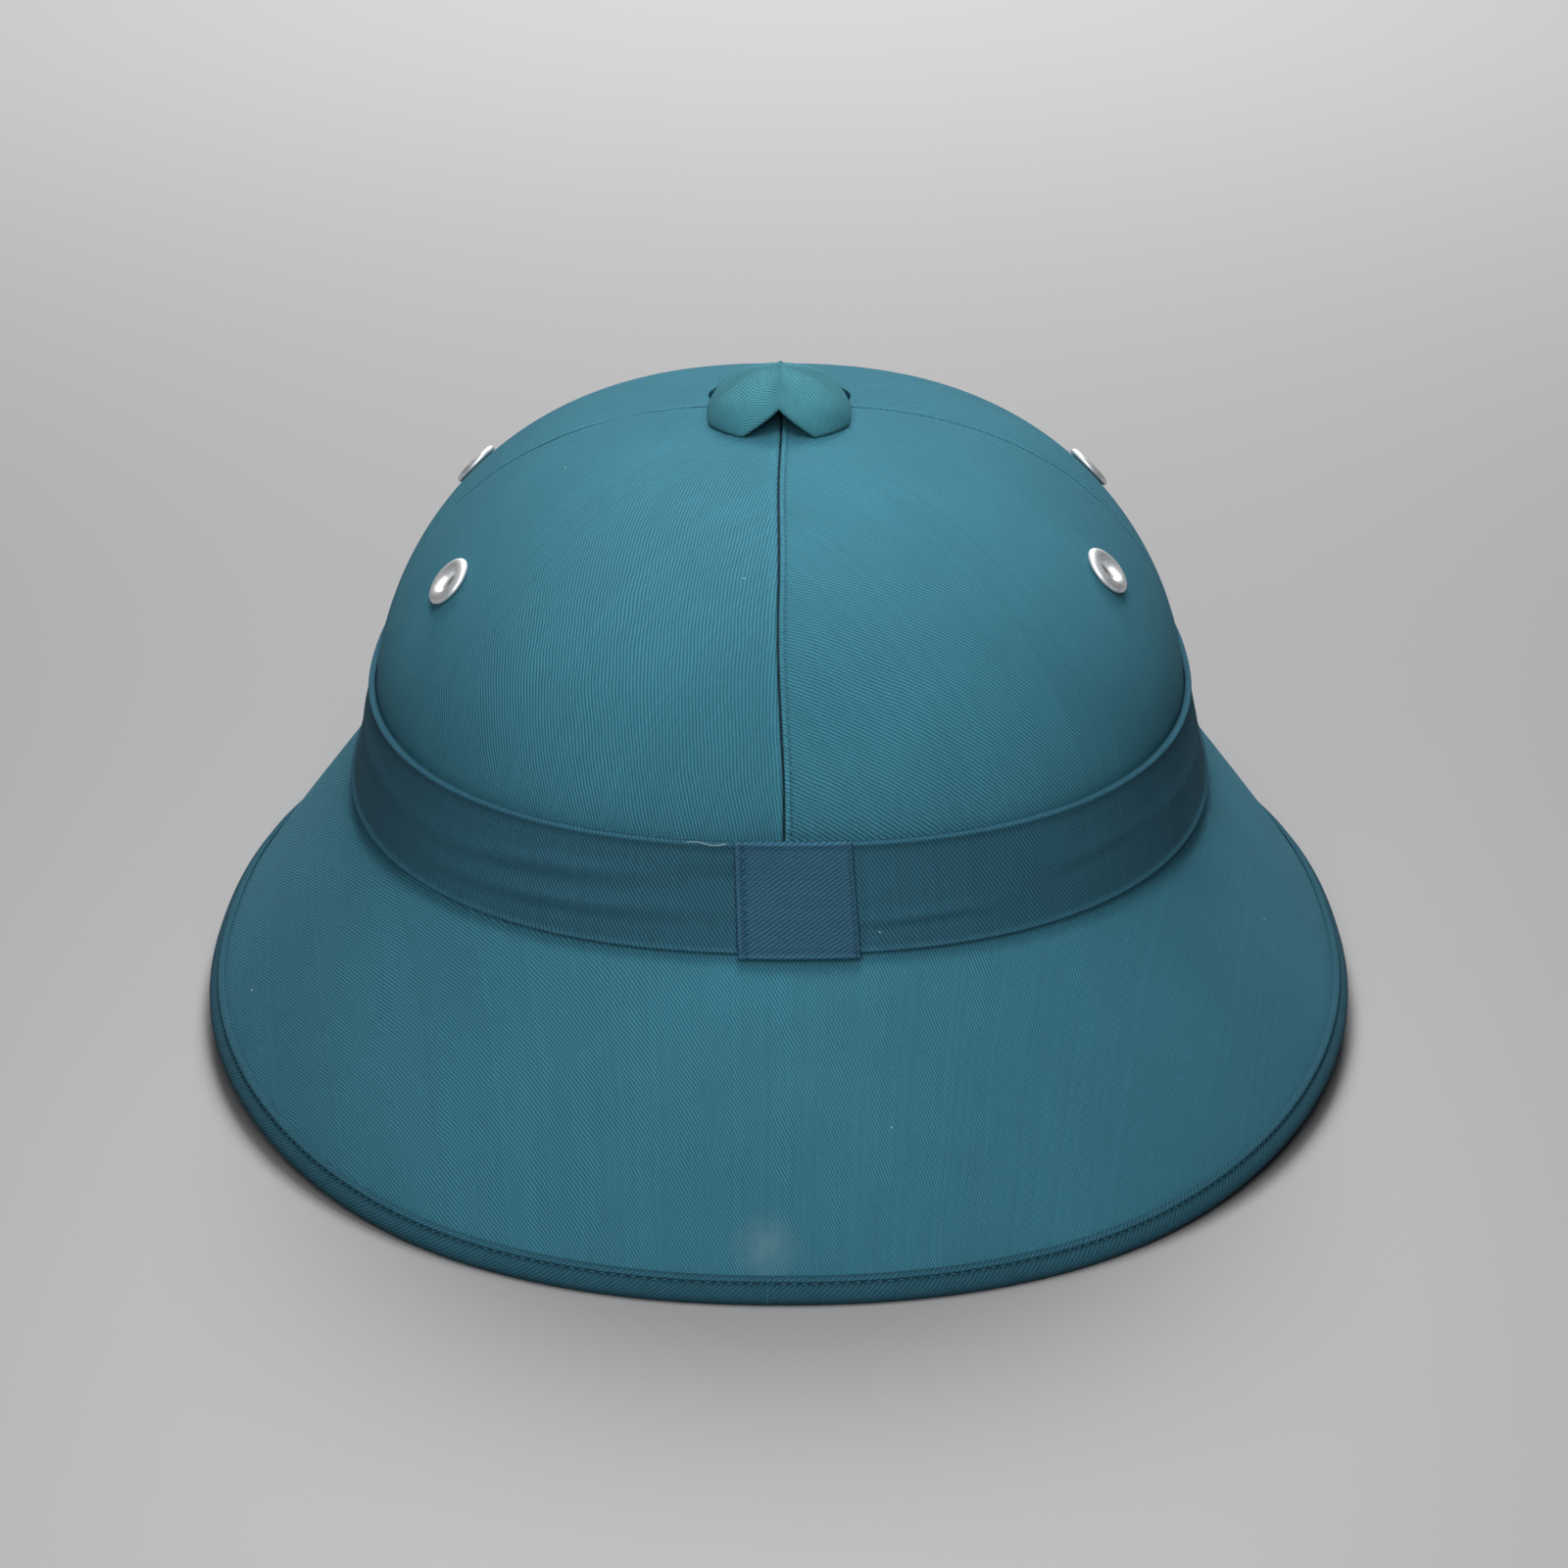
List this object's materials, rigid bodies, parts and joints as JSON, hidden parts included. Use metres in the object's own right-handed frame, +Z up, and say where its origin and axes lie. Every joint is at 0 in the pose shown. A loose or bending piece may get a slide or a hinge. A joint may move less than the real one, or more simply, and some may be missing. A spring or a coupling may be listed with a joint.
{
  "type": "military sun helmet",
  "caption": "Rigid sun helmet with a domed crown, a flared sloping brim, a cloth band, vent eyelets and a ventilator cap on top.",
  "frame": {"origin": "on the surface that the helmet rests on, in the middle of its brim", "axes": "+Z up through the ventilator cap, -Y to the wearer's front, +X to the wearer's left"},
  "size_m": [0.2722, 0.3322, 0.1485],
  "materials": {
    "crown_twill": "matt teal cotton twill",
    "brim_twill": "matt teal cotton twill",
    "band_twill": "matt teal cotton twill, a little darker and bluer",
    "pressed_pulp": "bare pressed fibre pulp, straw grey",
    "eyelet_aluminium": "stamped aluminium, softly bright"
  },
  "bodies": {
    "root": {"shell": "pressed_pulp", "crown_panel_back_left": "crown_twill", "crown_panel_back_right": "crown_twill", "crown_panel_front_left": "crown_twill", "crown_panel_front_right": "crown_twill", "brim_cover": "brim_twill", "edge_binding": "brim_twill", "hat_band": "band_twill", "band_tab": "band_twill", "ventilator_cap": "crown_twill", "eyelet_back_left": "eyelet_aluminium", "eyelet_back_right": "eyelet_aluminium", "eyelet_front_left": "eyelet_aluminium", "eyelet_front_right": "eyelet_aluminium"}
  },
  "joints": []
}
